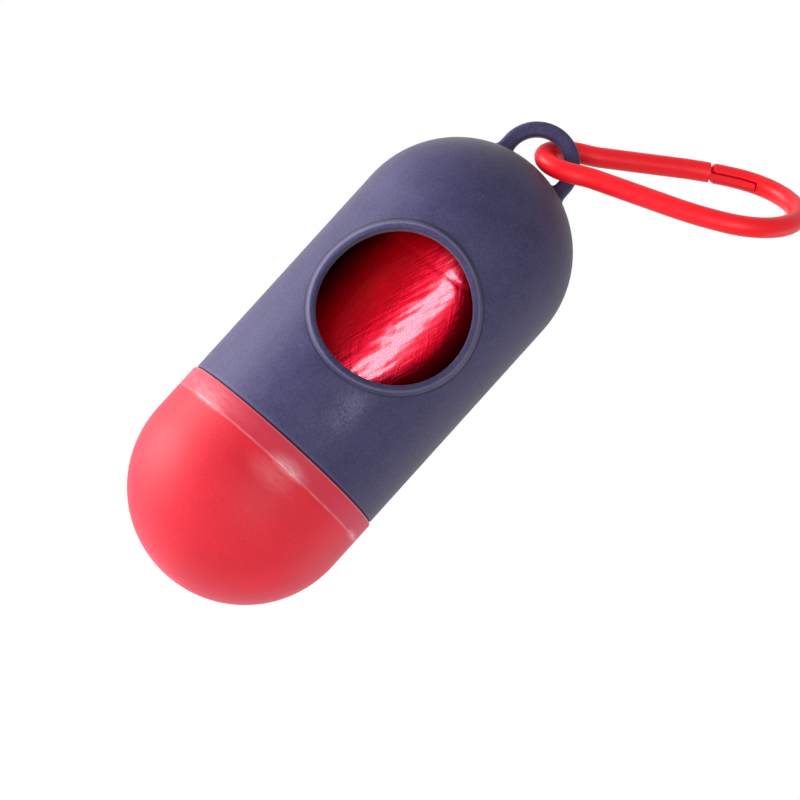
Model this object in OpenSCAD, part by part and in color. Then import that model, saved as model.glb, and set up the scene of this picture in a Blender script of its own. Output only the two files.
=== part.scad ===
// Capsule dispenser for pet waste bags: a moulded case with a hanging eye and a side window,
// a translucent screw cap, a roll of bags on a cardboard core, and a snap clip through the eye.
// Millimetres. The origin is the centre of the hanging eye, +Z runs up the capsule's axis,
// and the window faces -Y.

/* [Case] */
// Outside diameter of the case
case_d = 39.2; // [36:0.1:44]
// Straight length of the case, from the dome down to the cap's seam
case_len = 44; // [38:0.5:70]
// Thickness of the case wall
case_wall = 2.2; // [1.6:0.1:2.6]
// Height of the eye's centre above the top of the dome
eye_rise = 0.7; // [0.5:0.1:2]
// Chamfer round the case's lower edge at the seam
seam_chamfer = 0.3; // [0:0.05:0.6]

/* [Neck] */
// Length of the threaded neck below the seam
neck_len = 4; // [3:0.5:8]
// Thickness of the neck wall
neck_wall = 1.1; // [0.8:0.1:1.5]

/* [Window] */
// Diameter of the dispensing window
window_d = 26.2; // [18:0.2:28]
// Drop from the dome's centre down to the window's centre
window_drop = 15.8; // [15:0.2:24]
// Width of the raised bead round the window
bead_w = 1.6; // [1:0.1:2.4]
// Height of the bead above the case
bead_h = 0.7; // [0.3:0.1:1.2]

/* [Hanging eye] */
// Width of the eye's opening
eye_d = 9.4; // [9.2:0.1:12]
// Radial width of the band round the eye
eye_band = 2.6; // [2:0.1:4]
// Thickness of the band from front to back
eye_t = 2.8; // [2:0.1:3]
// Rounding on the band's edges
eye_round = 0.8; // [0.4:0.1:0.9]

/* [Cap] */
// How far the cap stands out beyond the case, on the radius
cap_step = 0.3; // [0:0.05:1]
// Straight length of the cap, from its rim down to the round end
cap_len = 9.45; // [8:0.05:20]
// Thickness of the cap wall below the socket
cap_wall = 2; // [1.6:0.1:2.6]
// Room for the screw thread between the neck and the cap's socket
thread_room = 0.4; // [0.3:0.05:0.5]
// Gap at the seam and under the neck when the cap is screwed home
seam_gap = 0.15; // [0.1:0.05:0.4]

/* [Bag roll] */
// Outside diameter of the full roll
roll_d = 28; // [22:0.5:30]
// Length of the roll
roll_len = 66; // [50:0.5:68]
// Thickness of the outermost folded layer of film
film_layer = 0.25; // [0.1:0.05:0.5]
// Outside diameter of the cardboard core
core_d = 16; // [12:0.5:19]
// Thickness of the cardboard
core_wall = 0.9; // [0.6:0.1:1.5]
// Running clearance between the core and the film, on the radius
core_fit = 0.06; // [0.02:0.01:0.1]
// Gap between the roll and the inside of the cap
roll_seat = 0.3; // [0.2:0.1:1]

/* [Clip] */
// Thickness of the clip's round bar
bar_d = 3.5; // [3:0.1:3.6]
// Length of the clip along the middle of its bar
clip_len = 44; // [40:0.5:60]
// Radius of the narrow bend that holds the eye, at the middle of the bar
neck_r = 5.4; // [5.2:0.1:6.5]
// Radius of the wide bend, at the middle of the bar
end_r = 11.5; // [10:0.1:12]
// Length of the narrow neck before the arms spread
neck_s = 8.3; // [7.5:0.1:10]
// Angle at which each arm spreads
flare = 17.5; // [15:0.5:22]
// Radius of the soft kink where the arms start to spread
kink_r = 8; // [4:0.5:12]
// Height of the clip's bend above the eye's centre
bend_rise = 1.95; // [1.9:0.05:2]
// Lift of the clip's long axis above level
clip_lift = 28.3; // [20:0.1:60]
// Turn of the clip about its long axis
clip_roll = 61; // [60:0.5:64]

/* [Clip gate] */
// Reach of the nose back from the wide bend
nose_len = 4.5; // [3.5:0.1:6]
// Rounding of the nose's tip
nose_round = 1; // [0.5:0.1:1.4]
// Thickness of the gate's tongue
tongue_t = 1.1; // [0.8:0.1:1.5]
// Length of the tongue beyond the gate's shoulder
tongue_len = 7.7; // [5:0.1:9]
// How far the tongue stands out of the nose on the inside
tongue_proud = 0.25; // [0:0.05:0.5]
// Clearance at the gate's shoulder, its tongue and the sides of its slot
gate_gap = 0.25; // [0.15:0.05:0.4]
// Clearance of the gate's ball end in its socket, on the radius
ball_fit = 0.05; // [0.02:0.01:0.1]
// Angle round the narrow bend at which the gate starts
root_angle = 15; // [0:1:25]

/* [Hidden] */
$fn = 96;
// Longer than anything in the part
span = 4 * case_len;
// How far a cut runs on past what it cuts
over = 1;
// How far the steps of a sweep overlap, and how much thicker every second one is
lap = 0.05;
hair = 0.02;

shell_blue = [0.30, 0.28, 0.40];
frosted_red = [0.90, 0.24, 0.27, 0.85];
film_red = [0.75, 0.02, 0.08];
clip_red = [0.93, 0.14, 0.19];
card_tan = [0.72, 0.60, 0.45];

case_r = case_d / 2;
bore_r = case_r - case_wall;
dome_z = -(eye_rise + case_r);
seam_z = dome_z - case_len;
neck_end_z = seam_z - neck_len;
neck_out_r = bore_r + neck_wall;
lead_in = 0.4;

window_z = dome_z - window_drop;
bead_r = (window_d + bead_w) / 2;
bead_steps = 4;
least_step = 0.1;

band_r = (eye_d + eye_band) / 2;
leg_end_z = dome_z + (case_r - case_wall / 2) * cos(asin(band_r / case_r));

cap_r = case_r + cap_step;
cap_rim_z = seam_z - seam_gap;
cap_z = cap_rim_z - cap_len;
socket_r = neck_out_r + thread_room;
ledge_z = neck_end_z - seam_gap;
cap_in_r = cap_r - cap_wall;

roll_r = roll_d / 2;
roll_z = cap_z - sqrt(pow(cap_in_r - roll_seat, 2) - pow(roll_r, 2));
core_r = core_d / 2;
// Where the outermost layer of film ends round the roll, and the groove there
film_edge = 80;
film_groove = 1.5;

wide_s = clip_len - end_r;
belly_r = (wide_s - neck_s - (end_r - neck_r) / tan(flare)) / tan(flare / 2);
kink_len = kink_r * tan(flare / 2);
flare_len = (end_r - belly_r * (1 - cos(flare)) - neck_r) / sin(flare) - kink_len;
throat_len = neck_s - kink_len - neck_r;
nose_turn = asin((nose_len - nose_round) / belly_r);
belly_w = belly_r - end_r;

root = [neck_r * (1 - sin(root_angle)), -neck_r * cos(root_angle)];
nose_tip = [wide_s - nose_len, belly_w - sqrt(pow(belly_r, 2) - pow(nose_len, 2))];
shoulder_reach = norm(nose_tip - root) - gate_gap;
tongue_reach = shoulder_reach + tongue_len;
// How far the tongue's back lies behind the bar's middle, and its path round the wide bend
tongue_back = 0.3;
tongue_turn = 45;

// Both sides of the clip as [length or radius, turn] steps from the gate's root.
gate_path = [[neck_r, root_angle], [throat_len, 0], [kink_r, -flare], [flare_len, 0],
             [belly_r, flare], [end_r, tongue_turn]];
frame_path = [[neck_r, root_angle - 180], [throat_len, 0], [kink_r, flare], [flare_len, 0],
              [belly_r, -flare], [end_r, -180], [belly_r, -nose_turn]];

// Right half of a 2-D drawing, ready to be turned about the axis.
module half() {
    intersection() {
        children();
        translate([0, -span]) square([span, 2 * span]);
    }
}

// Rounded rectangle, centred.
module rounded_bar(w, t, r) {
    square([w, t - 2 * r], center = true);
    square([w - 2 * r, t], center = true);
    for (x = [-1, 1], y = [-1, 1])
        translate([x * (w / 2 - r), y * (t / 2 - r)]) circle(r = r);
}

// Moves along a path of [length or radius, turn] steps and draws its section all the way.
// The section's +x is to the left of the path. A turn of 0 is a straight step.
// Each later step starts a lap early, and every second one is a hair thicker, so that
// neighbours join solidly and their faces never lie in each other.
module sweep(path, i = 0) {
    if (i < len(path)) {
        reach = path[i][0];
        turn = path[i][1];
        early = i > 0 ? lap : 0;
        thick = 1 + (i % 2) * hair / bar_d;
        if (turn == 0) {
            translate([-early, 0, 0]) rotate([90, 0, 90])
                linear_extrude(reach + early) scale(thick) children();
            translate([reach, 0, 0]) sweep(path, i + 1) children();
        } else {
            side = sign(turn);
            early_turn = early / reach * 180 / PI;
            translate([0, side * reach, 0]) {
                rotate(side > 0 ? -90 - early_turn : 90 + turn)
                    rotate_extrude(angle = abs(turn) + early_turn)
                        translate([reach, 0]) mirror([side > 0 ? 1 : 0, 0])
                            scale(thick) children();
                rotate(turn) translate([0, -side * reach, 0])
                    sweep(path, i + 1) children();
            }
        }
    }
}

// Outline of the case in section: a dome, a straight wall and the thinner neck below the seam.
module case_section() {
    difference() {
        half() {
            translate([0, dome_z]) circle(r = case_r);
            polygon([[0, dome_z], [case_r, dome_z], [case_r, seam_z + seam_chamfer],
                     [case_r - seam_chamfer, seam_z], [neck_out_r, seam_z],
                     [neck_out_r, neck_end_z + lead_in], [neck_out_r - lead_in, neck_end_z],
                     [0, neck_end_z]]);
        }
        translate([0, dome_z]) circle(r = bore_r);
        translate([-bore_r, neck_end_z - over])
            square([2 * bore_r, dome_z - neck_end_z + over]);
    }
}

// Raised bead that follows the case's round wall, built up in steps to a round crest.
// A step that would end a hair short of the window's edge runs on into the window.
module window_bead() {
    for (i = [1 : bead_steps]) {
        level = (i - 0.5) / bead_steps;
        half_w = bead_w / 2 * sqrt(1 - level * level);
        short_by = bead_r - half_w - window_d / 2;
        inner_r = short_by > least_step ? bead_r - half_w : window_d / 2 - least_step;
        intersection() {
            translate([0, 0, window_z]) rotate([90, 0, 0]) difference() {
                cylinder(r = bead_r + half_w, h = case_d);
                translate([0, 0, -over]) cylinder(r = inner_r, h = case_d + 2 * over);
            }
            translate([0, 0, window_z - bead_r - bead_w])
                cylinder(r = case_r + bead_h * i / bead_steps, h = 2 * (bead_r + bead_w));
        }
    }
}

// Arched eye on the dome: half a ring on two straight legs.
module hanging_eye() {
    rotate([90, 0, 0]) rotate_extrude(angle = 180)
        translate([band_r, 0]) rounded_bar(eye_band, eye_t, eye_round);
    for (x = [-1, 1])
        translate([x * band_r, 0, leg_end_z])
            linear_extrude(-leg_end_z) rounded_bar(eye_band, eye_t, eye_round);
}

module case() {
    color(shell_blue) difference() {
        union() {
            difference() {
                union() {
                    rotate_extrude() case_section();
                    window_bead();
                }
                translate([0, 0, seam_z]) cylinder(r = bore_r, h = dome_z - seam_z);
            }
            hanging_eye();
        }
        translate([0, 0, window_z]) rotate([90, 0, 0]) cylinder(d = window_d, h = case_d);
    }
}

module cap() {
    color(frosted_red) rotate_extrude() difference() {
        half() {
            intersection() {
                translate([0, cap_z]) circle(r = cap_r);
                translate([0, cap_z - cap_r]) square([cap_r, cap_r]);
            }
            polygon([[0, cap_z], [cap_r, cap_z], [cap_r, cap_rim_z - seam_chamfer],
                     [cap_r - seam_chamfer, cap_rim_z], [0, cap_rim_z]]);
        }
        translate([0, cap_z]) circle(r = cap_in_r);
        translate([-cap_in_r, cap_z]) square([2 * cap_in_r, cap_len + over]);
        translate([-socket_r, ledge_z]) square([2 * socket_r, cap_rim_z - ledge_z + over]);
    }
}

module roll_core() {
    color(card_tan) translate([0, 0, roll_z]) difference() {
        cylinder(r = core_r, h = roll_len);
        translate([0, 0, -over]) cylinder(r = core_r - core_wall, h = roll_len + 2 * over);
    }
}

// The wound film, with a shallow groove at the back where its outermost layer ends.
module bag_roll() {
    color(film_red) translate([0, 0, roll_z]) linear_extrude(roll_len) difference() {
        circle(r = roll_r);
        rotate(film_edge) translate([roll_r - film_layer, 0]) square([over, film_groove]);
        circle(r = core_r + core_fit);
    }
}

// Puts the clip, drawn flat along +X from its narrow bend, through the eye as it hangs.
module in_eye() {
    translate([0, 0, bend_rise]) rotate([-(90 + clip_roll), -clip_lift, 0]) children();
}

// Starts at the gate's root, turned to face along the bar.
module at_root(turn = 0) {
    translate([root[0], root[1], 0]) rotate(turn) children();
}

// Everything within reach of the gate's root, so that a cut follows the gate's swing.
module root_disc(reach) {
    at_root() cylinder(r = reach, h = 2 * bar_d, center = true);
}

// Rounded tip of the nose.
module nose_tip_round() {
    translate([wide_s, belly_w, 0]) rotate(-nose_turn) translate([lap, -belly_r, 0])
        rotate([0, -90, 0]) rotate_extrude() {
            tip_r = (bar_d + hair) / 2;
            square([tip_r, lap]);
            square([tip_r - nose_round, lap + nose_round]);
            translate([tip_r - nose_round, lap]) half() intersection() {
                circle(r = nose_round);
                square(nose_round);
            }
        }
}

// The gate's flat tongue, or with a gap the slot that it closes into. It runs on along the
// bar from the shoulder, from just behind the bar's middle to proud of its inner side.
module tongue(gap = 0) {
    open_side = gap > 0 ? bar_d / 2 : 0;
    intersection() {
        difference() {
            root_disc(tongue_reach + gap);
            root_disc(shoulder_reach - lap);
        }
        at_root(-root_angle) sweep(gate_path)
            translate([-tongue_back - gap, -tongue_t / 2 - gap])
                square([tongue_back + gap + bar_d / 2 + tongue_proud + open_side,
                        tongue_t + 2 * gap]);
    }
}

module clip_frame() {
    color(clip_red) in_eye() difference() {
        union() {
            at_root(180 - root_angle) sweep(frame_path) circle(d = bar_d);
            nose_tip_round();
        }
        at_root() sphere(d = bar_d + 2 * ball_fit);
        tongue(gate_gap);
    }
}

module clip_gate() {
    color(clip_red) in_eye() {
        at_root() sphere(d = bar_d);
        intersection() {
            root_disc(shoulder_reach);
            at_root(-root_angle) sweep(gate_path) circle(d = bar_d);
        }
        tongue();
    }
}

case();
cap();
roll_core();
bag_roll();
clip_frame();
clip_gate();
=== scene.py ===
# %% [markdown]
# # A capsule dispenser for waste bags
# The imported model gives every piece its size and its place. This lesson dresses it: a matt moulded
# case, a frosted screw cap, a roll of glossy film and a plastic snap clip. The scene is in metres.
# The code writes its lengths in millimetres, because a maker thinks of this object in millimetres.

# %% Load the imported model
import math

import bmesh
import bpy
from mathutils import Matrix, Vector, noise


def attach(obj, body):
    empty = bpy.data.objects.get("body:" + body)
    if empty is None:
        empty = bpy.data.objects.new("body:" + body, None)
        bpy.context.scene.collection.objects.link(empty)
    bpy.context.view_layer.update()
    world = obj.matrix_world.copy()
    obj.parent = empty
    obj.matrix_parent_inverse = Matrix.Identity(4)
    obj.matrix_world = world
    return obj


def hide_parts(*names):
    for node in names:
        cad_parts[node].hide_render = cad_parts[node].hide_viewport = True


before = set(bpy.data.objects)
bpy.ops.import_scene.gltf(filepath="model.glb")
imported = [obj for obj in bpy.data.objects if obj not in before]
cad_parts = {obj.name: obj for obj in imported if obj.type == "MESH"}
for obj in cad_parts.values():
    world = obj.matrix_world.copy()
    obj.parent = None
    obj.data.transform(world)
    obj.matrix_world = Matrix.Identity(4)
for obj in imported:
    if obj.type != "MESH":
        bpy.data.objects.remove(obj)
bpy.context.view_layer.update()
MM = 0.001

# %% [markdown]
# The photograph looks at the dispenser with a long lens from a little below and a little to the
# right of its window. The picture is turned, so that the capsule lies across it at a slant. The
# camera looks at a point that is shifted from the capsule's middle, because the capsule isn't in the
# middle of the picture, and it is turned about its line of sight by the slant.

# %% Camera
scene = bpy.context.scene
AZIMUTH, ELEVATION, SLANT = math.radians(5.0), math.radians(-5.0), math.radians(47.9)
DISTANCE = 1000 * MM
PICTURE_PX, PX_PER_MM = 800, 5.92
MIDDLE_Z = -47.2
MIDDLE_PX_X, MIDDLE_PX_Y = 351, 370

side = Vector((math.cos(AZIMUTH), math.sin(AZIMUTH), 0))
level_back = Vector((math.sin(AZIMUTH), -math.cos(AZIMUTH), 0))
back = level_back * math.cos(ELEVATION) + Vector((0, 0, math.sin(ELEVATION)))
rise = back.cross(side)
picture_x = side * math.sin(SLANT) + rise * math.cos(SLANT)
picture_y = rise * math.sin(SLANT) - side * math.cos(SLANT)
shift_x = (PICTURE_PX / 2 - MIDDLE_PX_X) / PX_PER_MM
shift_y = (PICTURE_PX / 2 - MIDDLE_PX_Y) / PX_PER_MM
aim = (Vector((0, 0, MIDDLE_Z)) + picture_x * shift_x - picture_y * shift_y) * MM

camera = bpy.data.objects.new("camera", bpy.data.cameras.new("camera"))
scene.collection.objects.link(camera)
camera.matrix_world = Matrix((picture_x, picture_y, back)).transposed().to_4x4()
camera.location = aim + back * DISTANCE
camera.data.lens = camera.data.sensor_width * (DISTANCE / MM) / (PICTURE_PX / PX_PER_MM)
camera.data.clip_start = 10 * MM
camera.data.clip_end = 20000 * MM
scene.camera = camera
print("lens in mm:", round(camera.data.lens, 1))

# %% [markdown]
# A white ground like the photograph's comes from what the camera sees and not from more light: the
# world and the floor show plain white to the camera and to reflections, and light the object at a
# level at which a colour comes out about as it is written. Three small helpers make every shader
# here: one reads a colour, one fills a node's inputs and one adds a node.

# %% Colours and nodes
scene.view_settings.view_transform = "Standard"
# A mix node repeats its names for each kind of data, so its sockets are told apart by their place.
VALUE_A, VALUE_B, MIXED_VALUE = 2, 3, 0
COLOUR_A, COLOUR_B, MIXED_COLOUR = 6, 7, 2


def linear(hex_colour):
    """An sRGB hex colour as the linear values that the nodes work in."""
    parts = [int(hex_colour[i:i + 2], 16) / 255 for i in (1, 3, 5)]
    return [c / 12.92 if c <= 0.04045 else ((c + 0.055) / 1.055) ** 2.4 for c in parts] + [1.0]


def fill_inputs(tree, node, inputs):
    """Gives a node's inputs their values, or links them from the outputs of other nodes."""
    for name, value in inputs.items():
        if isinstance(value, bpy.types.NodeSocket):
            tree.links.new(value, node.inputs[name])
        else:
            node.inputs[name].default_value = value


def add_node(tree, kind, inputs=None, **settings):
    """A new node with its settings and its inputs. A math node's inputs are numbered from 0."""
    node = tree.nodes.new(kind)
    for name, value in settings.items():
        setattr(node, name, value)
    fill_inputs(tree, node, inputs or {})
    return node


def seen_directly(tree):
    """1 for what the camera sees, also in a mirror or through something clear."""
    path = add_node(tree, "ShaderNodeLightPath")
    either = add_node(tree, "ShaderNodeMath",
                      {0: path.outputs["Is Camera Ray"], 1: path.outputs["Is Glossy Ray"]},
                      operation="MAXIMUM")
    any_of_them = add_node(tree, "ShaderNodeMath",
                           {0: either.outputs[0], 1: path.outputs["Is Transmission Ray"]},
                           operation="MAXIMUM")
    return any_of_them.outputs[0]


# %% World
ROOM_LIGHT = 0.30
world = bpy.data.worlds.new("white_room")
scene.world = world
world.use_nodes = True
tree = world.node_tree
tree.nodes.clear()
level = add_node(tree, "ShaderNodeMapRange",
                 {"Value": seen_directly(tree), "To Min": ROOM_LIGHT, "To Max": 1.0})
shown = add_node(tree, "ShaderNodeBackground",
                 {"Color": linear("#FFFFFF"), "Strength": level.outputs[0]})
add_node(tree, "ShaderNodeOutputWorld", {"Surface": shown.outputs[0]})
print("light from the world:", ROOM_LIGHT)

# %% [markdown]
# The dispenser hangs, so the floor lies well below it, and below the lamps too. It is a large round
# sheet of matt paper. Its own glow, which only the camera and reflections see, brings the paper up
# to the white of the world while its shadow still shows.

# %% Floor
FLOOR_Z, FLOOR_R = -600 * MM, 1500 * MM
PAPER_GLOW = 0.62
bm = bmesh.new()
bmesh.ops.create_circle(bm, cap_ends=True, segments=96, radius=FLOOR_R,
                        matrix=Matrix.Translation((0, 0, FLOOR_Z)))
floor_mesh = bpy.data.meshes.new("floor")
bm.to_mesh(floor_mesh)
bm.free()
floor = bpy.data.objects.new("floor", floor_mesh)
scene.collection.objects.link(floor)

paper = bpy.data.materials.new("paper_white_matt")
paper.use_nodes = True
tree = paper.node_tree
glow = add_node(tree, "ShaderNodeMath", {0: seen_directly(tree), 1: PAPER_GLOW}, operation="MULTIPLY")
fill_inputs(tree, tree.nodes["Principled BSDF"], {
    "Base Color": linear("#FAFAFA"),
    "Roughness": 0.9,
    "Emission Color": linear("#FFFFFF"),
    "Emission Strength": glow.outputs[0],
})
floor_mesh.materials.append(paper)
print("floor height in mm:", round(FLOOR_Z / MM))

# %% [markdown]
# The photograph's light is soft and comes mostly from the upper left of the picture. A large soft
# box at that side lights the shapes, and a weaker one beside the camera opens the shadows. A weak
# box at the right gives the case its pale edge, and a strip beside the camera, which shows only in
# gloss, draws a faint bloom on the case and the cap. Each lamp is placed by its direction from the
# object, in the sideways, upward and backward directions of the camera before its slant.

# %% Lamps
CENTRE = Vector((0, 0, -45 * MM))
LAMP_HEIGHT = 600 * MM
WIDE, FAR, NEAR = 600 * MM, 900 * MM, 800 * MM


def softbox(name, direction, away, width, watts, lights_matt=True, shows_in_gloss=True):
    """A rectangular lamp that faces the object, with its height along the capsule."""
    sideways, upward, backward = direction
    towards = (side * sideways + rise * upward + back * backward).normalized()
    lamp = bpy.data.objects.new(name, bpy.data.lights.new(name, "AREA"))
    scene.collection.objects.link(lamp)
    lamp.data.shape = "RECTANGLE"
    lamp.data.size = width
    lamp.data.size_y = LAMP_HEIGHT
    lamp.data.energy = watts
    across = rise.cross(towards).normalized()
    lamp.matrix_world = Matrix((across, towards.cross(across), towards)).transposed().to_4x4()
    lamp.location = CENTRE + towards * away
    lamp.visible_diffuse = lights_matt
    lamp.visible_glossy = shows_in_gloss
    print(name, "watts:", watts)
    return lamp


softbox("key_left", (-1.0, -0.25, -0.05), FAR, WIDE, watts=12.0)
broad = softbox("front_soft", (-0.15, -0.50, 1.0), FAR, WIDE, watts=5.0, shows_in_gloss=False)
softbox("rim_right", (0.95, 0.10, -0.35), NEAR, 300 * MM, watts=1.0)
softbox("front_bloom", (0.31, 0.0, 0.95), NEAR, 200 * MM, watts=3.0, lights_matt=False)

# %% [markdown]
# A photographer who lights glossy and matt parts in one picture keeps a lamp off some of them with
# black cards. Here a collection says which pieces a lamp lights. The film gets a strong strip that
# shows only in its gloss, as the white streak, and a fill from further round to the right. The clip
# and the cap get a weak fill each. The pieces join these collections when they are made.

# %% Lamps for single pieces
STREAK_COLOUR = (1.0, 0.96, 1.12)


def pieces_lit_by(lamp, name):
    """A new collection that says which pieces a lamp lights."""
    pieces = bpy.data.collections.new(name)
    lamp.light_linking.receiver_collection = pieces
    return pieces


streak = softbox("front_streak", (0.36, 0.0, 0.93), NEAR, 400 * MM, watts=115.0, lights_matt=False)
streak.data.color = STREAK_COLOUR
film_pieces = pieces_lit_by(streak, "film_pieces")
film_fill = softbox("film_fill", (0.66, 0.0, 0.75), NEAR, 300 * MM, watts=8.0, shows_in_gloss=False)
film_fill.light_linking.receiver_collection = film_pieces
clip_fill = softbox("clip_fill", (0.10, 0.30, 1.0), FAR, WIDE, watts=2.8, shows_in_gloss=False)
clip_pieces = pieces_lit_by(clip_fill, "clip_pieces")
cap_fill = softbox("cap_fill", (0.75, -0.35, 0.60), FAR, WIDE, watts=2.8, shows_in_gloss=False)
cap_pieces = pieces_lit_by(cap_fill, "cap_pieces")

# %% [markdown]
# Each finished mesh goes through one helper: it joins double points, turns the faces outwards, marks
# the edges that are meant to be sharp, and puts the piece on the body that carries it. Most pieces
# here are turned ones, so three more helpers draw half of a section and spin it round the axis.

# %% Finish a mesh
SAME_POINT = 0.0005


def finish_piece(bm, name, material, body, stands_for=(), sharp_deg=35):
    """Makes the object from a bmesh in millimetres, in the model's frame."""
    bmesh.ops.remove_doubles(bm, verts=bm.verts, dist=SAME_POINT)
    bmesh.ops.recalc_face_normals(bm, faces=bm.faces)
    bmesh.ops.scale(bm, vec=(MM, MM, MM), verts=bm.verts)
    for face in bm.faces:
        face.smooth = True
    for edge in bm.edges:
        edge.smooth = len(edge.link_faces) == 2 and edge.calc_face_angle(0) < math.radians(sharp_deg)
    mesh = bpy.data.meshes.new(name)
    bm.to_mesh(mesh)
    bm.free()
    mesh.materials.append(material)
    piece = bpy.data.objects.new(name, mesh)
    scene.collection.objects.link(piece)
    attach(piece, body)
    if stands_for:
        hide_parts(*stands_for)
    print(name, "faces:", len(mesh.polygons), "size in mm:", [round(d / MM, 2) for d in piece.dimensions])
    return piece


def chain(bm, points):
    """A few vertices joined by edges, as the outline that a spin turns into a body."""
    verts = [bm.verts.new(p) for p in points]
    for a, b in zip(verts, verts[1:]):
        bm.edges.new((a, b))
    return verts


def arc(bm, start, centre, degrees, steps):
    """Draws an arc in the XZ plane from the vertex start, and gives the vertex at its end."""
    turned = bmesh.ops.spin(bm, geom=[start], cent=centre, axis=(0, 1, 0), angle=math.radians(degrees),
                            steps=steps, use_duplicate=False)
    return [v for v in turned["geom_last"] if isinstance(v, bmesh.types.BMVert)][0]


def turn_about_axis(bm, steps=160):
    """Spins the whole outline once round the capsule's axis."""
    bmesh.ops.spin(bm, geom=bm.verts[:] + bm.edges[:], cent=(0, 0, 0), axis=(0, 0, 1), angle=math.tau,
                   steps=steps, use_merge=True)
    bmesh.ops.remove_doubles(bm, verts=bm.verts, dist=2 * SAME_POINT)


# %% [markdown]
# ## Painted light and marks
# The painted highlights and shade and the whitish marks on this object have soft edges and fixed
# places, so they are painted from the object's own coordinates. Two patterns are enough for all of
# them: a spot that fades out from a point, and a line that fades out on both sides of a height or a
# radius.

# %% Material helpers
def new_material(name):
    """An empty material with one principled shader, its output and the object's own coordinates."""
    material = bpy.data.materials.new(name)
    material.use_nodes = True
    tree = material.node_tree
    tree.nodes.clear()
    place = add_node(tree, "ShaderNodeTexCoord").outputs["Object"]
    shader = add_node(tree, "ShaderNodeBsdfPrincipled")
    add_node(tree, "ShaderNodeOutputMaterial", {"Surface": shader.outputs[0]})
    return material, tree, place, shader


def per_metre(size_mm):
    """A pattern's scale for features of that size."""
    return 1 / (size_mm * MM)


def soft_spot(tree, place, at, reach, strength):
    """Fades smoothly from strength at a point to 0 at its reach along each axis, both in mm."""
    moved = add_node(tree, "ShaderNodeVectorMath", {0: place, 1: [c * MM for c in at]},
                     operation="SUBTRACT")
    sized = add_node(tree, "ShaderNodeVectorMath",
                     {0: moved.outputs[0], 1: [per_metre(c) for c in reach]}, operation="MULTIPLY")
    away = add_node(tree, "ShaderNodeVectorMath", {0: sized.outputs[0]}, operation="LENGTH")
    fade = add_node(tree, "ShaderNodeMapRange",
                    {"Value": away.outputs["Value"], "To Min": strength, "To Max": 0.0},
                    interpolation_type="SMOOTHSTEP")
    return fade.outputs[0]


def soft_line(tree, measure, at, reach, strength):
    """Fades smoothly from strength where a measure is at that value to 0 at its reach, in mm."""
    off_line = add_node(tree, "ShaderNodeMath", {0: measure, 1: at * MM}, operation="SUBTRACT")
    distance = add_node(tree, "ShaderNodeMath", {0: off_line.outputs[0]}, operation="ABSOLUTE")
    fade = add_node(tree, "ShaderNodeMapRange",
                    {"Value": distance.outputs[0], "From Max": reach * MM,
                     "To Min": strength, "To Max": 0.0},
                    interpolation_type="SMOOTHSTEP")
    return fade.outputs[0]


# %% [markdown]
# ## The case plastic
# The case is polypropylene, injection moulded in a mould whose steel was spark-eroded. That gives a
# matt, soft-touch skin with a broad dull sheen, a fine grain and a faint mottle in the colour. The
# grain is drawn at 0.4 mm, a little coarser than the real one, so that it shows in the render. Below
# the window a paler patch is painted as a painted highlight, the bloom of the lamp beside the camera.

# %% Case material
GRAIN, MOTTLE = 0.40, 3.5
# Place, reach and strength of a painted highlight below the window, in mm.
BLOOM_HIGHLIGHT_AT, BLOOM_HIGHLIGHT_REACH, BLOOM_HIGHLIGHT_STRENGTH = (6.0, -18.7, -54.0), (4.2, 9, 7.5), 0.7

case_plastic, tree, place, shader = new_material("polypropylene_spark_eroded_matt")
grain = add_node(tree, "ShaderNodeTexNoise",
                 {"Vector": place, "Scale": per_metre(GRAIN), "Detail": 3.0, "Roughness": 0.6})
mottle = add_node(tree, "ShaderNodeTexNoise",
                  {"Vector": place, "Scale": per_metre(MOTTLE), "Detail": 4.0, "Roughness": 0.65})
uneven = add_node(tree, "ShaderNodeMix",
                  {"Factor": 0.6, VALUE_A: mottle.outputs[0], VALUE_B: grain.outputs[0]},
                  data_type="FLOAT").outputs[MIXED_VALUE]
spread = add_node(tree, "ShaderNodeMapRange", {"Value": uneven, "From Min": 0.35, "From Max": 0.65})
tone = add_node(tree, "ShaderNodeMix",
                {"Factor": spread.outputs[0], COLOUR_A: linear("#2C2951"), COLOUR_B: linear("#48436D")},
                data_type="RGBA").outputs[MIXED_COLOUR]
# Painted highlight: a paler patch below the window, broken up by the mottle.
painted_bloom = soft_spot(tree, place, BLOOM_HIGHLIGHT_AT, BLOOM_HIGHLIGHT_REACH, BLOOM_HIGHLIGHT_STRENGTH)
speckled_bloom = add_node(tree, "ShaderNodeMath", {0: painted_bloom, 1: spread.outputs[0]}, operation="MULTIPLY")
with_painted_bloom = add_node(tree, "ShaderNodeMix",
                 {"Factor": speckled_bloom.outputs[0], COLOUR_A: tone, COLOUR_B: linear("#7A769A")},
                 data_type="RGBA").outputs[MIXED_COLOUR]
dull = add_node(tree, "ShaderNodeMapRange",
                {"Value": mottle.outputs[0], "To Min": 0.56, "To Max": 0.66})
pits = add_node(tree, "ShaderNodeBump",
                {"Height": grain.outputs[0], "Strength": 1.0, "Distance": 0.06 * MM})
fill_inputs(tree, shader, {
    "Roughness": dull.outputs[0],
    "Normal": pits.outputs[0],
    "IOR": 1.49,
    "Specular IOR Level": 0.35,
    "Sheen Weight": 0.18,
    "Sheen Roughness": 0.4,
    "Sheen Tint": linear("#FFEED2"),
})
print(case_plastic.name, "nodes:", len(tree.nodes))

# %% [markdown]
# The bead round the window gets a painted highlight along its crest and painted shade in the groove
# at its foot. Both are rings round the window's axis, on the front only. The rounded edge at the seam
# gets a painted highlight as well, a pale line along it.

# %% Painted highlights and shade round the window and at the seam
WINDOW_Z, SEAM_Z, EDGE_ROUND = -36.1, -64.3, 0.35
FRONT_FROM_Y, FRONT_TO_Y = -12, -10
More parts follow.
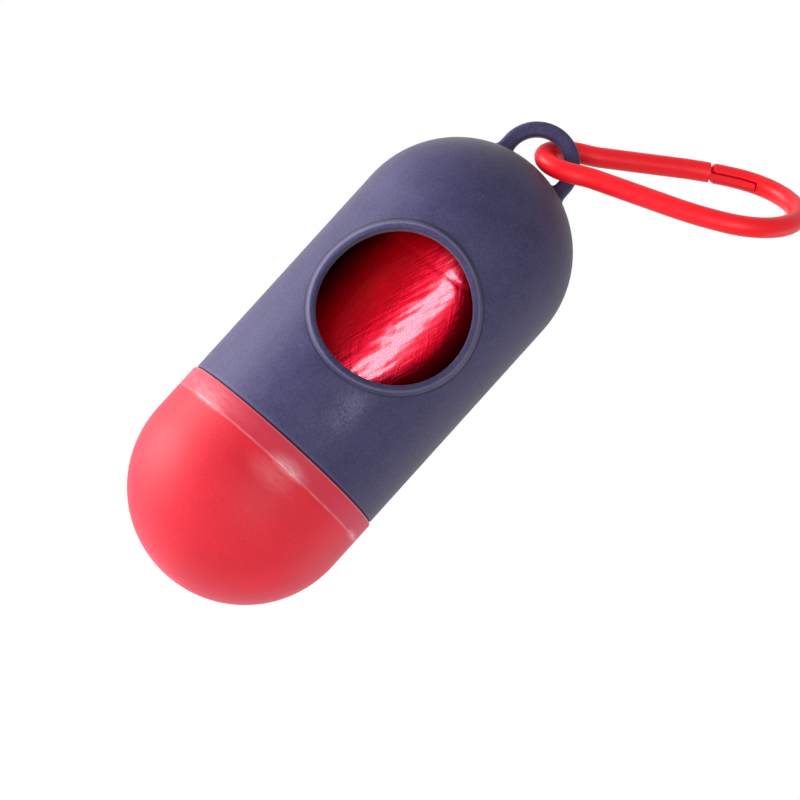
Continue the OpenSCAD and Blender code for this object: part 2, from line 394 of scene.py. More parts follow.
# Radius, reach, strength and colour: the painted highlight on the crest, and the painted shade in the
# groove.
PAINTED_LIGHT_RINGS = [(14.22, 0.36, 0.38, "#8C88A6"), (14.95, 0.24, 0.80, "#14132A")]

axes = add_node(tree, "ShaderNodeSeparateXYZ", {"Vector": place})
# Painted highlight: a pale line along the rounded edge at the seam.
seam_edge_highlight = soft_line(tree, axes.outputs["Z"], SEAM_Z + EDGE_ROUND, reach=0.40, strength=0.30)
case_with_painted_light = add_node(tree, "ShaderNodeMix",
                {"Factor": seam_edge_highlight, COLOUR_A: with_painted_bloom, COLOUR_B: linear("#6C6A90")},
                data_type="RGBA").outputs[MIXED_COLOUR]
from_window = add_node(tree, "ShaderNodeVectorMath", {0: place, 1: (0, 0, WINDOW_Z * MM)},
                       operation="SUBTRACT")
flat = add_node(tree, "ShaderNodeVectorMath", {0: from_window.outputs[0], 1: (1, 0, 1)},
                operation="MULTIPLY")
off_axis = add_node(tree, "ShaderNodeVectorMath", {0: flat.outputs[0]}, operation="LENGTH")
on_front = add_node(tree, "ShaderNodeMapRange",
                    {"Value": axes.outputs["Y"], "From Min": FRONT_FROM_Y * MM,
                     "From Max": FRONT_TO_Y * MM, "To Min": 1.0, "To Max": 0.0})
# Painted highlight on the bead's crest and painted shade in the groove at its foot.
for radius, reach, strength, colour in PAINTED_LIGHT_RINGS:
    near = soft_line(tree, off_axis.outputs["Value"], radius, reach, strength)
    share = add_node(tree, "ShaderNodeMath", {0: near, 1: on_front.outputs[0]}, operation="MULTIPLY")
    case_with_painted_light = add_node(tree, "ShaderNodeMix",
                    {"Factor": share.outputs[0], COLOUR_A: case_with_painted_light, COLOUR_B: linear(colour)},
                    data_type="RGBA").outputs[MIXED_COLOUR]
tree.links.new(case_with_painted_light, shader.inputs["Base Color"])
print(case_plastic.name, "nodes with wear:", len(tree.nodes))

# %% [markdown]
# ## The case
# The case is one moulding: a dome, a straight wall and a thinner neck. Its section is drawn once,
# with an arc for the dome outside and in, and is spun round the axis. The window is then cut by a
# round bar along Y, because a spun shell has no window of its own. A hair-thin groove is cut round
# the place of the window's bead, where the photograph shows a fine dark line.

# %% Case shell
CASE_R, CASE_WALL, NECK_WALL = 19.6, 2.2, 1.1
BORE_R = CASE_R - CASE_WALL
NECK_R = BORE_R + NECK_WALL
DOME_Z, NECK_LEN, LEAD_IN = -20.3, 4.0, 0.4
NECK_END_Z = SEAM_Z - NECK_LEN
WALL_ROW_Z = DOME_Z - 22
# Radius and height of each corner, from the wall's outer side round the neck to its inner side.
CASE_SECTION = [(CASE_R, WALL_ROW_Z), (CASE_R, SEAM_Z + EDGE_ROUND), (CASE_R - 0.1, SEAM_Z + 0.12),
                (CASE_R - 0.32, SEAM_Z), (NECK_R, SEAM_Z), (NECK_R, NECK_END_Z + LEAD_IN),
                (NECK_R - LEAD_IN, NECK_END_Z), (BORE_R, NECK_END_Z), (BORE_R, WALL_ROW_Z)]

case_bm = bmesh.new()
top = case_bm.verts.new((0, 0, DOME_Z + CASE_R))
shoulder = arc(case_bm, top, (0, 0, DOME_Z), 90, 28)
wall = chain(case_bm, [(r, 0, z) for r, z in CASE_SECTION])
case_bm.edges.new((shoulder, wall[0]))
inner_shoulder = case_bm.verts.new((BORE_R, 0, DOME_Z))
case_bm.edges.new((wall[-1], inner_shoulder))
arc(case_bm, inner_shoulder, (0, 0, DOME_Z), -90, 20)
turn_about_axis(case_bm)
bmesh.ops.recalc_face_normals(case_bm, faces=case_bm.faces)
print("case points before the window is cut:", len(case_bm.verts))

# %% Window and groove
WINDOW_R = 13.1
BAR_LEN, BAR_Y = 30, -22
# Radius from the window's axis, and height above the case's wall.
GROOVE = [(14.70, 0.5), (14.70, -0.22), (14.86, -0.28), (15.02, -0.18), (15.14, 0.5)]


def spin_ring(bm, section):
    """Spins a closed section round the window's axis in the flat and lays it on the round case."""
    points = chain(bm, [(radius, height, 0) for radius, height in section])
    bm.edges.new((points[-1], points[0]))
    bmesh.ops.spin(bm, geom=bm.verts[:] + bm.edges[:], cent=(0, 0, 0), axis=(0, 1, 0), angle=math.tau,
                   steps=192, use_merge=True)
    bmesh.ops.recalc_face_normals(bm, faces=bm.faces)
    for v in bm.verts:
        v.co = (v.co.x, -math.sqrt((CASE_R + v.co.y) ** 2 - v.co.x ** 2), v.co.z + WINDOW_Z)


def cut_away(bm, cutters):
    """The body without the space that the cutters fill, as a new bmesh. All of them are used up."""
    helpers = []
    for piece in (bm, *cutters):
        mesh = bpy.data.meshes.new("helper")
        piece.to_mesh(mesh)
        piece.free()
        helpers.append(bpy.data.objects.new("helper", mesh))
        scene.collection.objects.link(helpers[-1])
    for cutter in helpers[1:]:
        cut = helpers[0].modifiers.new("cut", "BOOLEAN")
        cut.object = cutter
        cut.operation = "DIFFERENCE"
        cut.solver = "EXACT"
    result = bmesh.new()
    result.from_object(helpers[0], bpy.context.evaluated_depsgraph_get())
    for helper in helpers:
        bpy.data.objects.remove(helper)
    return result


window_bar = bmesh.new()
along_y = Matrix.Translation((0, BAR_Y, WINDOW_Z)) @ Matrix.Rotation(math.pi / 2, 4, "X")
bmesh.ops.create_cone(window_bar, cap_ends=True, segments=160, radius1=WINDOW_R, radius2=WINDOW_R,
                      depth=BAR_LEN, matrix=along_y)
groove = bmesh.new()
spin_ring(groove, GROOVE)
case_bm = cut_away(case_bm, [window_bar, groove])
finish_piece(case_bm, "case_shell", case_plastic, "case", ["case"])

# %% [markdown]
# A moulded bead stiffens the window's edge and feels smooth to the finger. Its section stands on
# the case like a small rounded hill, and its inner side runs on down the window's wall. The
# section is spun in the flat, and then each point is laid on the round case at its own height.

# %% Window bead
BEAD = [(WINDOW_R, -2.2), (WINDOW_R, 0.08), (13.18, 0.24), (13.40, 0.42), (13.70, 0.56),
        (14.00, 0.66), (14.22, 0.69), (14.42, 0.64), (14.58, 0.50), (14.70, 0.28), (14.76, 0.05),
        (14.78, -0.30), (14.3, -0.6), (13.5, -2.2)]
bm = bmesh.new()
spin_ring(bm, BEAD)
finish_piece(bm, "window_bead", case_plastic, "case", sharp_deg=50)

# %% [markdown]
# The hanging eye is an arch of rounded band on two legs. The band's section is a rectangle with
# rounded corners, spun through half a turn. Each leg then runs down to the dome and swells a
# little at its foot, because a mould's sharp inner corner would crack there.

# %% Hanging eye
EYE_R, BAND_W, BAND_T, BAND_ROUND = 6.0, 2.6, 2.8, 0.8
# Height above the dome and flare of each ring of the foot. The last one lies inside the wall.
FOOT = [(1.3, 0), (0.8, 0.03), (0.5, 0.10), (0.28, 0.22), (0.1, 0.42), (-0.05, 0.75)]


def dome_height(x, y):
    """Height of the dome's surface over a point, in the model's frame."""
    return DOME_Z + math.sqrt(CASE_R ** 2 - x ** 2 - y ** 2)


bm = bmesh.new()
bmesh.ops.create_grid(bm, x_segments=1, y_segments=1, size=0.5)
bmesh.ops.scale(bm, vec=(BAND_W, BAND_T, 1), verts=bm.verts)
bmesh.ops.bevel(bm, geom=bm.verts[:], offset=BAND_ROUND, segments=6, profile=0.5,
                affect="VERTICES", material=-1)
bmesh.ops.delete(bm, geom=bm.faces[:], context="FACES_ONLY")
bmesh.ops.translate(bm, vec=(EYE_R, 0, 0), verts=bm.verts)
first_ring = bm.edges[:]
swept = bmesh.ops.spin(bm, geom=bm.verts[:] + bm.edges[:], cent=(0, 0, 0), axis=(0, 1, 0),
                       angle=-math.pi, steps=64, use_duplicate=False)
last_ring = [e for e in swept["geom_last"] if isinstance(e, bmesh.types.BMEdge)]

for ring, centre_x in ((first_ring, EYE_R), (last_ring, -EYE_R)):
    section = {v: (v.co.x - centre_x, v.co.y) for e in ring for v in e.verts}
    for height, flare in FOOT:
        made = bmesh.ops.extrude_edge_only(bm, edges=ring)["geom"]
        new_verts = [v for v in made if isinstance(v, bmesh.types.BMVert)]
        new_edges = [e for e in made if isinstance(e, bmesh.types.BMEdge)]
        ring = [e for e in new_edges if all(v in new_verts for v in e.verts)]
        moved = {}
        for v in new_verts:
            old = min(section, key=lambda s: (s.co.x - v.co.x) ** 2 + (s.co.y - v.co.y) ** 2)
            dx, dy = section[old]
            out = Vector((dx, dy, 0)).normalized() * flare
            moved[v] = (dx, dy)
            v.co.x = centre_x + dx + out.x
            v.co.y = dy + out.y
            v.co.z = dome_height(v.co.x, v.co.y) + height
        section = moved
finish_piece(bm, "hanging_eye", case_plastic, "case", sharp_deg=50)

# %% [markdown]
# ## The thread
# A thread is a small ridge wound round the neck. Its section is four points, and the spin's own
# rise along the axis makes it a helix: 2.5 mm for each turn, right-handed. The cap's ridge stands
# half a turn's rise away from the neck's, so the two pass each other as the cap screws on. Both
# ends run out to nothing, as on a moulded thread, by pulling the ridge back into the wall there.

# %% Thread on the neck
PITCH, THREAD_H, THREAD_START_Z = 2.5, 0.30, -67.65
FOOT_HALF, CREST_HALF, ROOTED = 0.50, 0.18, 0.05
TAPER_STEPS, LEAST_HEIGHT = 9, 0.02


def thread_ridge(root_r, crest_r, start_z, degrees, steps):
    """A helical ridge with tapered ends, rooted a little inside the wall it stands on."""
    bm = bmesh.new()
    foot_r = root_r - math.copysign(ROOTED, crest_r - root_r)
    ring = chain(bm, [(foot_r, 0, start_z - FOOT_HALF), (crest_r, 0, start_z - CREST_HALF),
                      (crest_r, 0, start_z + CREST_HALF), (foot_r, 0, start_z + FOOT_HALF)])
    bm.edges.new((ring[-1], ring[0]))
    bm.faces.new(ring)
    section = bm.faces[:] + bm.edges[:] + bm.verts[:]
    bmesh.ops.spin(bm, geom=section, cent=(0, 0, 0), axis=(0, 0, 1), angle=math.radians(degrees),
                   dvec=(0, 0, PITCH * degrees / 360 / steps), steps=steps, use_duplicate=False)
    bm.verts.index_update()
    for v in bm.verts:
        step = v.index // len(ring)
        height = min(1, step / TAPER_STEPS, (steps - step) / TAPER_STEPS)
        radius = math.hypot(v.co.x, v.co.y)
        shorter = (foot_r + (radius - foot_r) * max(height, LEAST_HEIGHT)) / radius
        v.co.x *= shorter
        v.co.y *= shorter
    return bm


finish_piece(thread_ridge(NECK_R, NECK_R + THREAD_H, THREAD_START_Z, 400, 120),
             "neck_thread", case_plastic, "case", sharp_deg=60)

# %% [markdown]
# ## The cap plastic
# The cap is the same polypropylene with far less pigment, so it is translucent, and its mould was
# bead-blasted, which frosts it. Light enters and comes out softened, so the shader scatters it
# under the surface and adds a little sheen at grazing angles. Over the neck the wall is thinner and
# the dark case shows behind it, which is painted as the duller band. A painted highlight makes the rim's
# edge paler.

# %% Cap material
NECK_LINE_Z = NECK_END_Z - 0.05
BAND_FROM_Z, BAND_TO_Z = NECK_LINE_Z - 0.15, NECK_LINE_Z + 0.25
RIM_HIGHLIGHT_FROM_Z, RIM_HIGHLIGHT_TO_Z = -64.85, -64.70
CLOUD, FROST = 7, 0.40

frosted_plastic, tree, place, shader = new_material("polypropylene_translucent_bead_blasted")
height = add_node(tree, "ShaderNodeSeparateXYZ", {"Vector": place}).outputs["Z"]
cloud = add_node(tree, "ShaderNodeTexNoise",
                 {"Vector": place, "Scale": per_metre(CLOUD), "Detail": 3.0})
frost = add_node(tree, "ShaderNodeTexNoise",
                 {"Vector": place, "Scale": per_metre(FROST), "Detail": 2.0})
uneven = add_node(tree, "ShaderNodeMix",
                  {"Factor": 0.5, VALUE_A: cloud.outputs[0], VALUE_B: frost.outputs[0]},
                  data_type="FLOAT").outputs[MIXED_VALUE]
spread = add_node(tree, "ShaderNodeMapRange", {"Value": uneven, "From Min": 0.25, "From Max": 0.75})
red = add_node(tree, "ShaderNodeMix",
               {"Factor": spread.outputs[0], COLOUR_A: linear("#C60E24"), COLOUR_B: linear("#E01C32")},
               data_type="RGBA").outputs[MIXED_COLOUR]
over_neck = add_node(tree, "ShaderNodeMapRange",
                     {"Value": height, "From Min": BAND_FROM_Z * MM, "From Max": BAND_TO_Z * MM},
                     interpolation_type="SMOOTHSTEP")
banded = add_node(tree, "ShaderNodeMix",
                  {"Factor": over_neck.outputs[0], COLOUR_A: red, COLOUR_B: linear("#C82840")},
                  data_type="RGBA").outputs[MIXED_COLOUR]
# Painted highlight: a paler line along the rim's edge.
rim_highlight = add_node(tree, "ShaderNodeMapRange",
                  {"Value": height, "From Min": RIM_HIGHLIGHT_FROM_Z * MM, "From Max": RIM_HIGHLIGHT_TO_Z * MM},
                  interpolation_type="SMOOTHSTEP")
with_rim_highlight = add_node(tree, "ShaderNodeMix",
                  {"Factor": rim_highlight.outputs[0], COLOUR_A: banded, COLOUR_B: linear("#E4626E")},
                  data_type="RGBA").outputs[MIXED_COLOUR]
gloss = add_node(tree, "ShaderNodeMapRange",
                 {"Value": cloud.outputs[0], "To Min": 0.50, "To Max": 0.60})
frost_bump = add_node(tree, "ShaderNodeBump",
                      {"Height": frost.outputs[0], "Strength": 0.8, "Distance": 0.05 * MM})
fill_inputs(tree, shader, {
    "Roughness": gloss.outputs[0],
    "Normal": frost_bump.outputs[0],
    "IOR": 1.49,
    "Specular IOR Level": 0.38,
    "Subsurface Weight": 0.25,
    "Subsurface Radius": (1.0, 0.2, 0.2),
    "Subsurface Scale": 1.5 * MM,
    "Sheen Weight": 0.25,
    "Sheen Roughness": 0.45,
    "Sheen Tint": linear("#FFACD0"),
})
print(frosted_plastic.name, "nodes:", len(tree.nodes))

# %% [markdown]
# A whitish line is painted round the cap where the neck ends, and whitish spots at a few places. The
# spots at the front are a painted highlight, the bloom of the lamp beside the camera, and a broad one
# at the left is a painted sheen on the lit side. Each mark is a soft spot at its place on the cap, and
# the line is a thin ring. Their strengths add up, and a noise drawn out sideways breaks them into short
# wisps.

# %% Whitish line and spots in the cap, partly painted highlight
LINE_REACH, LINE_STRENGTH = 0.32, 0.26
# Place, reach along each axis, and strength. The first three spots are a painted highlight, the bloom
# of the lamp beside the camera, and the last is a painted sheen on the lit left side.
WHITISH_SPOTS = [((5.0, -19.3, -68.2), (4.4, 9, 1.0), 0.50),
         ((5.2, -19.2, -67.7), (5.0, 9, 2.0), 0.36),
         ((3.4, -19.0, -70.6), (6.0, 9, 3.0), 0.15),
         ((-12.5, -15.5, -68.3), (5.5, 9, 0.80), 0.42),
         ((-14.0, -14.0, -67.6), (7.0, 9, 1.9), 0.22),
         ((19.3, -4.9, -68.3), (1.6, 7, 1.1), 0.50),
         ((-17.0, -10.0, -66.2), (20, 30, 2.8), 0.15)]
WISP_LEN, WISP_HEIGHT = 2.2, 0.35

# Whitish line and spots, partly painted highlight and painted sheen.
whiteness = soft_line(tree, height, NECK_LINE_Z, LINE_REACH, LINE_STRENGTH)
for at, reach, strength in WHITISH_SPOTS:
    whitish_spot = soft_spot(tree, place, at, reach, strength)
    whiteness = add_node(tree, "ShaderNodeMath", {0: whiteness, 1: whitish_spot}, operation="ADD").outputs[0]
drawn_out = add_node(tree, "ShaderNodeMapping",
                     {"Vector": place, "Scale": (WISP_LEN * MM, WISP_LEN * MM, WISP_HEIGHT * MM)},
                     vector_type="TEXTURE")
wisps = add_node(tree, "ShaderNodeTexNoise",
                 {"Vector": drawn_out.outputs[0], "Scale": 1.0, "Detail": 3.0, "Roughness": 0.6})
torn = add_node(tree, "ShaderNodeMapRange",
                {"Value": wisps.outputs[0], "From Min": 0.34, "From Max": 0.62,
                 "To Min": 0.40, "To Max": 1.2})
veil = add_node(tree, "ShaderNodeMath", {0: whiteness, 1: torn.outputs[0]},
                operation="MULTIPLY", use_clamp=True)
marked = add_node(tree, "ShaderNodeMix",
                  {"Factor": veil.outputs[0], COLOUR_A: with_rim_highlight, COLOUR_B: linear("#F3B4BC")},
                  data_type="RGBA").outputs[MIXED_COLOUR]
tree.links.new(marked, shader.inputs["Base Color"])
print("marks in the cap:", len(WHITISH_SPOTS))

# %% [markdown]
# ## The cap
# One outline, spun: the round end outside, the straight wall up to a softly rounded rim, the socket
# for the neck, the ledge under it and the round hollow inside. The rim is rounded and not
# chamfered, because it is handled at every refill.

# %% Cap shell and its thread
CAP_STEP, CAP_WALL, SEAM_GAP, THREAD_ROOM, CAP_LEN = 0.3, 2.0, 0.15, 0.4, 9.45
CAP_R = CASE_R + CAP_STEP
CAP_IN_R = CAP_R - CAP_WALL
SOCKET_R = NECK_R + THREAD_ROOM
RIM_Z = SEAM_Z - SEAM_GAP
CAP_Z = RIM_Z - CAP_LEN
LEDGE_Z = NECK_END_Z - SEAM_GAP
INNER_ROW_Z = -71
# Radius and height, from the wall's outer side over the rim to the hollow.
CAP_SECTION = [(CAP_R, NECK_LINE_Z), (CAP_R, RIM_Z - 0.40), (CAP_R - 0.03, RIM_Z - 0.22),
               (CAP_R - 0.12, RIM_Z - 0.08), (CAP_R - 0.28, RIM_Z), (SOCKET_R + 0.25, RIM_Z),
               (SOCKET_R + 0.07, RIM_Z - 0.06), (SOCKET_R, RIM_Z - 0.25), (SOCKET_R, LEDGE_Z),
               (CAP_IN_R, LEDGE_Z), (CAP_IN_R, INNER_ROW_Z)]

bm = bmesh.new()
pole = bm.verts.new((0, 0, CAP_Z - CAP_R))
wall_start = arc(bm, pole, (0, 0, CAP_Z), -90, 28)
wall = chain(bm, [(r, 0, z) for r, z in CAP_SECTION])
bm.edges.new((wall_start, wall[0]))
hollow_start = bm.verts.new((CAP_IN_R, 0, CAP_Z))
bm.edges.new((wall[-1], hollow_start))
arc(bm, hollow_start, (0, 0, CAP_Z), 90, 20)
turn_about_axis(bm)
cap_shell = finish_piece(bm, "cap_shell", frosted_plastic, "cap", ["cap"])
cap_pieces.objects.link(cap_shell)
finish_piece(thread_ridge(SOCKET_R, SOCKET_R - THREAD_H, THREAD_START_Z + PITCH / 2, 220, 70),
             "cap_thread", frosted_plastic, "cap", sharp_deg=60)

# %% [markdown]
# ## The bag roll
# The bags are one long strip of thin polyethylene film, folded and wound. The roll's lower edge rests
# in the cap's round hollow, so its height comes from there. It starts as a spun outline: its two ends
# step in and out a little, where the layers don't end level, and its wall has rows of points close
# enough for wrinkles.

# %% Roll outline
ROLL_R, ROLL_BORE_R, ROLL_LEN, ROLL_SEAT = 14.0, 8.06, 66.0, 0.3
ROLL_Z = CAP_Z - math.sqrt((CAP_IN_R - ROLL_SEAT) ** 2 - ROLL_R ** 2)
END_RINGS, END_STEP, END_DEPTH = 15, 0.35, 0.10
ROWS, ROW_INSET = 130, 0.6

layer_ends = [(ROLL_BORE_R + END_STEP * i, END_DEPTH if i % 2 else 0.0) for i in range(1, END_RINGS + 1)]
end_face = [(ROLL_BORE_R, 0.2)] + layer_ends + [(ROLL_R - 0.45, 0.02), (ROLL_R - 0.15, 0.2)]
rows = [ROLL_Z + ROW_INSET + (ROLL_LEN - 2 * ROW_INSET) * i / ROWS for i in range(ROWS + 1)]
roll_bm = bmesh.new()
outline = chain(roll_bm, [(r, 0, ROLL_Z + inset) for r, inset in end_face]
                + [(ROLL_R, 0, z) for z in rows]
                + [(r, 0, ROLL_Z + ROLL_LEN - inset) for r, inset in reversed(end_face)])
roll_bm.edges.new((outline[-1], outline[0]))
turn_about_axis(roll_bm, steps=280)
print("roll points:", len(roll_bm.verts), "height of its lower end in mm:", round(ROLL_Z, 3))

# %% [markdown]
# Film doesn't stretch to lie flat, so a wound roll is covered with slanting wrinkles, and these tear
# the light's streak into strokes. The wall's points are pushed inwards by two kinds of wrinkle: long
# shallow hollows, and sharp thin creases that lean to one side or cross them. The creases are deeper
# in three bands along the roll, where the flattened strip is slack. One fold runs round the roll,
# where a bag was folded over, and a small step shows where the outer layer ends.

# %% Wrinkles
# Depth, width and length in mm, lean in radians, and a place in the noise.
HOLLOWS = {"depth": 0.11, "lean": -0.22, "width": 5.0, "length": 22.0, "seed": 3.1}
LEANING_CREASES = {"depth": 0.065, "lean": -0.34, "width": 0.9, "length": 8.0, "seed": 7.7}
CROSSING_CREASES = {"depth": 0.045, "lean": 0.70, "width": 0.8, "length": 3.0, "seed": 1.9}
NOISE_GAIN = 1.6
SLACK_BANDS, FRONT_SLACK, LEAST_SLACK = 3, math.radians(-75), 0.3
FOLD_Z, FOLD_LEAN, FOLD_WIDTH, FOLD_DEPTH = -23.9, 0.10, 0.30, 0.14
LAYER_END_DEG, LAYER_FADE_DEG, LAYER_STEP = 80, 7, 0.25
WALL_MARGIN = 0.2


def wrinkle(across, along, depth, lean, width, length, seed):
    """How deep a leaning pattern is at a point of the unrolled film: 0 at its ridges."""
    turned_x = across * math.cos(lean) + along * math.sin(lean)
    turned_y = -across * math.sin(lean) + along * math.cos(lean)
    level = abs(noise.noise(Vector((turned_x / width, turned_y / length, seed))))
    return depth * min(1.0, NOISE_GAIN * level)


wall_points = [v for v in roll_bm.verts if math.hypot(v.co.x, v.co.y) >= ROLL_R - WALL_MARGIN]
for v in wall_points:
    radius, turn = math.hypot(v.co.x, v.co.y), math.atan2(v.co.y, v.co.x)
    across, along = ROLL_R * turn, v.co.z
    in_band = max(0.0, math.cos(SLACK_BANDS * (turn - FRONT_SLACK)))
    slack = LEAST_SLACK + (1 - LEAST_SLACK) * in_band
    depth = wrinkle(across, along, **HOLLOWS)
    depth += slack * wrinkle(across, along, **LEANING_CREASES)
    depth += slack * wrinkle(across, along, **CROSSING_CREASES)
    depth += FOLD_DEPTH * math.exp(-((along - FOLD_Z - FOLD_LEAN * across) / FOLD_WIDTH) ** 2)
    past_layer_end = (math.degrees(turn) - LAYER_END_DEG) % 360
    depth += LAYER_STEP * max(0.0, 1 - past_layer_end / LAYER_FADE_DEG)
    v.co.x *= (radius - depth) / radius
    v.co.y *= (radius - depth) / radius
least_r = min(math.hypot(v.co.x, v.co.y) for v in wall_points)
print("wrinkled points:", len(wall_points), "least radius in mm:", round(least_r, 2))

# %% [markdown]
# The finest crinkle is drawn on the film as it lies unrolled, so the roll gets a UV map in metres:
# across is the way round the roll and along is the height. At the back the angle jumps from half a
# turn to minus half a turn, so each face takes the angles that are nearest to its own middle.

# %% Unrolled coordinates
unrolled = roll_bm.loops.layers.uv.new("unrolled")
for face in roll_bm.faces:
    middle = face.calc_center_median()
    middle_turn = math.atan2(middle.y, middle.x)
    for loop in face.loops:
        turn = math.atan2(loop.vert.co.y, loop.vert.co.x)
        turn += math.tau * round((middle_turn - turn) / math.tau)
        loop[unrolled].uv = (turn * ROLL_R * MM, loop.vert.co.z * MM)
print("way round the roll in mm:", round(math.tau * ROLL_R, 1))

# %% [markdown]
# The film is blown polyethylene with a red pigment: smooth, glossy, and clear enough that each of
# the layers under the first reflects too. Such a stack shines mostly in its own colour, so the
# shader's reflection is tinted, and a thin coat gives the white one of the outer face. The finest
# crinkle is too small for points, so it is a bump in two directions, about half a millimetre wide.

# %% Film material
# Lean in radians, and width and length in mm.
CRINKLE_ONE, CRINKLE_TWO = (-0.32, 0.38, 5.0), (0.65, 0.50, 3.0)
CLOUDING = 4

film, tree, place, shader = new_material("polyethylene_film_blown_gloss")
strip = add_node(tree, "ShaderNodeUVMap", uv_map="unrolled").outputs[0]
crinkles = []
for (lean, width, length), detail in ((CRINKLE_ONE, 3.0), (CRINKLE_TWO, 2.0)):
    leaning = add_node(tree, "ShaderNodeMapping",
                       {"Vector": strip, "Rotation": (0, 0, lean), "Scale": (width * MM, length * MM, 1)},
                       vector_type="TEXTURE")
    crinkles.append(add_node(tree, "ShaderNodeTexNoise",
                             {"Vector": leaning.outputs[0], "Scale": 1.0, "Detail": detail,
                              "Distortion": 0.3}, noise_dimensions="2D").outputs[0])
crinkle = add_node(tree, "ShaderNodeMath", {0: crinkles[0], 1: crinkles[1]}, operation="ADD")
crinkle_bump = add_node(tree, "ShaderNodeBump",
                        {"Height": crinkle.outputs[0], "Strength": 0.9, "Distance": 0.08 * MM})
layers = add_node(tree, "ShaderNodeTexNoise",
                  {"Vector": place, "Scale": per_metre(CLOUDING), "Detail": 2.0})
film_red = add_node(tree, "ShaderNodeMix",
                    {"Factor": layers.outputs[0], COLOUR_A: linear("#900008"),
                     COLOUR_B: linear("#B4000C")}, data_type="RGBA").outputs[MIXED_COLOUR]
cling = add_node(tree, "ShaderNodeMapRange",
                 {"Value": crinkle.outputs[0], "From Max": 2.0, "To Min": 0.30, "To Max": 0.44})
fill_inputs(tree, shader, {
    "Base Color": film_red,
    "Roughness": cling.outputs[0],
    "Normal": crinkle_bump.outputs[0],
    "Specular IOR Level": 0.25,
    "Specular Tint": linear("#FF1444"),
    "Coat Weight": 0.08,
    "Coat Roughness": 0.19,
})
print(film.name, "nodes:", len(tree.nodes))

# %% [markdown]
# The soft box beside the camera would lay a grey veil on the dark film. A collection with nothing
# but an excluded piece means that the lamp lights everything else.

# %% Film roll
roll = finish_piece(roll_bm, "film_roll", film, "bag_roll", ["bag_roll"], sharp_deg=55)
film_pieces.objects.link(roll)
all_but_film = pieces_lit_by(broad, "all_but_film")
all_but_film.objects.link(roll)
all_but_film.collection_objects[0].light_linking.link_state = "EXCLUDE"

# %% [markdown]
# ## The card core
# The core is grey-brown board, wound in a spiral from strips and glued. It is a spun tube with
# softly crushed ends. The seams of the strips climb round it, so the shader draws them from the
# angle round the axis and the height together.

# %% Card material
STRIP_WIDTH, FIBRES = 22, 0.8
SEAM_SHARE = 0.02

card, tree, place, shader = new_material("greyboard_spiral_wound")
axes = add_node(tree, "ShaderNodeSeparateXYZ", {"Vector": place})
angle = add_node(tree, "ShaderNodeMath", {0: axes.outputs["Y"], 1: axes.outputs["X"]},
                 operation="ARCTAN2")
around = add_node(tree, "ShaderNodeMath", {0: angle.outputs[0], 1: 1 / math.tau},
                  operation="MULTIPLY")
climb = add_node(tree, "ShaderNodeMath",
                 {0: axes.outputs["Z"], 1: per_metre(STRIP_WIDTH), 2: around.outputs[0]},
                 operation="MULTIPLY_ADD")
across_strip = add_node(tree, "ShaderNodeMath", {0: climb.outputs[0]}, operation="FRACT")
seam = add_node(tree, "ShaderNodeMapRange",
                {"Value": across_strip.outputs[0], "From Max": SEAM_SHARE, "To Min": 1.0, "To Max": 0.0})
fibres = add_node(tree, "ShaderNodeTexNoise",
                  {"Vector": place, "Scale": per_metre(FIBRES), "Detail": 5.0, "Roughness": 0.7})
board = add_node(tree, "ShaderNodeMix",
                 {"Factor": fibres.outputs[0], COLOUR_A: linear("#A28B6C"),
                  COLOUR_B: linear("#BDA88A")}, data_type="RGBA").outputs[MIXED_COLOUR]
seamed = add_node(tree, "ShaderNodeMix",
                  {"Factor": seam.outputs[0], COLOUR_A: board, COLOUR_B: linear("#7D6950")},
                  data_type="RGBA").outputs[MIXED_COLOUR]
fibre_bump = add_node(tree, "ShaderNodeBump",
                      {"Height": fibres.outputs[0], "Strength": 0.5, "Distance": 0.05 * MM})
fill_inputs(tree, shader, {
    "Base Color": seamed,
    "Roughness": 0.9,
    "Normal": fibre_bump.outputs[0],
})
print(card.name, "nodes:", len(tree.nodes))

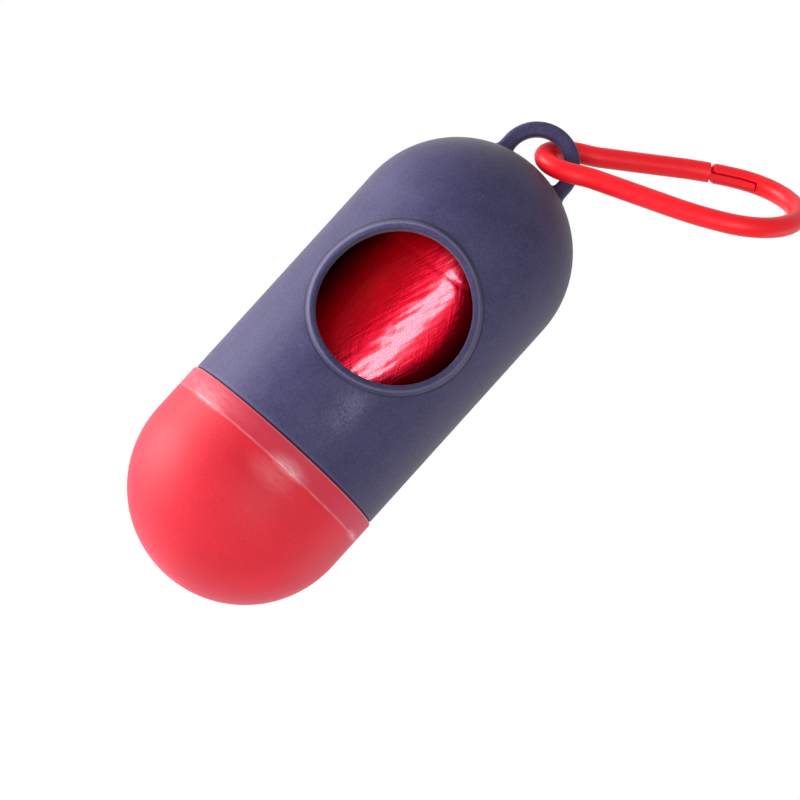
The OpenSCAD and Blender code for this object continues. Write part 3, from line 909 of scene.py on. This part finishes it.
# %% Card core
CORE_R, CORE_IN_R, CRUSHED = 8.0, 7.1, 0.15
core_end = [(CORE_IN_R, CRUSHED), (CORE_IN_R + CRUSHED, 0), (CORE_R - CRUSHED, 0), (CORE_R, CRUSHED)]
bm = bmesh.new()
tube = chain(bm, [(r, 0, ROLL_Z + inset) for r, inset in core_end]
             + [(r, 0, ROLL_Z + ROLL_LEN - inset) for r, inset in reversed(core_end)])
bm.edges.new((tube[-1], tube[0]))
turn_about_axis(bm, steps=96)
finish_piece(bm, "card_core", card, "roll_carrier", ["roll_core"])

# %% [markdown]
# ## The clip
# The clip is one polypropylene moulding with a soft gloss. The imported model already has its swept
# bar, its nose with the slot and the gate's tongue, so both solids stay and get the moulded
# plastic: a warm red, slightly uneven, with a faint ripple where the plastic flowed.

# %% Clip material
FLOW, SKIN = 5, 0.6

clip_plastic, tree, place, shader = new_material("polypropylene_moulded_soft_gloss")
flow = add_node(tree, "ShaderNodeTexNoise", {"Vector": place, "Scale": per_metre(FLOW), "Detail": 3.0})
tint = add_node(tree, "ShaderNodeMix",
                {"Factor": flow.outputs[0], COLOUR_A: linear("#F20C1C"), COLOUR_B: linear("#FA1A2A")},
                data_type="RGBA").outputs[MIXED_COLOUR]
skin = add_node(tree, "ShaderNodeTexNoise", {"Vector": place, "Scale": per_metre(SKIN), "Detail": 3.0})
skin_bump = add_node(tree, "ShaderNodeBump",
                     {"Height": skin.outputs[0], "Strength": 0.15, "Distance": 0.03 * MM})
handled = add_node(tree, "ShaderNodeMapRange",
                   {"Value": flow.outputs[0], "To Min": 0.36, "To Max": 0.48})
fill_inputs(tree, shader, {
    "Base Color": tint,
    "Roughness": handled.outputs[0],
    "Normal": skin_bump.outputs[0],
    "IOR": 1.49,
    "Specular IOR Level": 0.3,
    "Subsurface Weight": 0.15,
    "Subsurface Radius": (1.0, 0.2, 0.2),
    "Subsurface Scale": 1.0 * MM,
})
for name in ("clip_frame", "clip_gate"):
    clip_pieces.objects.link(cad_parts[name])
    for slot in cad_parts[name].material_slots:
        slot.material = clip_plastic
print(clip_plastic.name, "nodes:", len(tree.nodes))
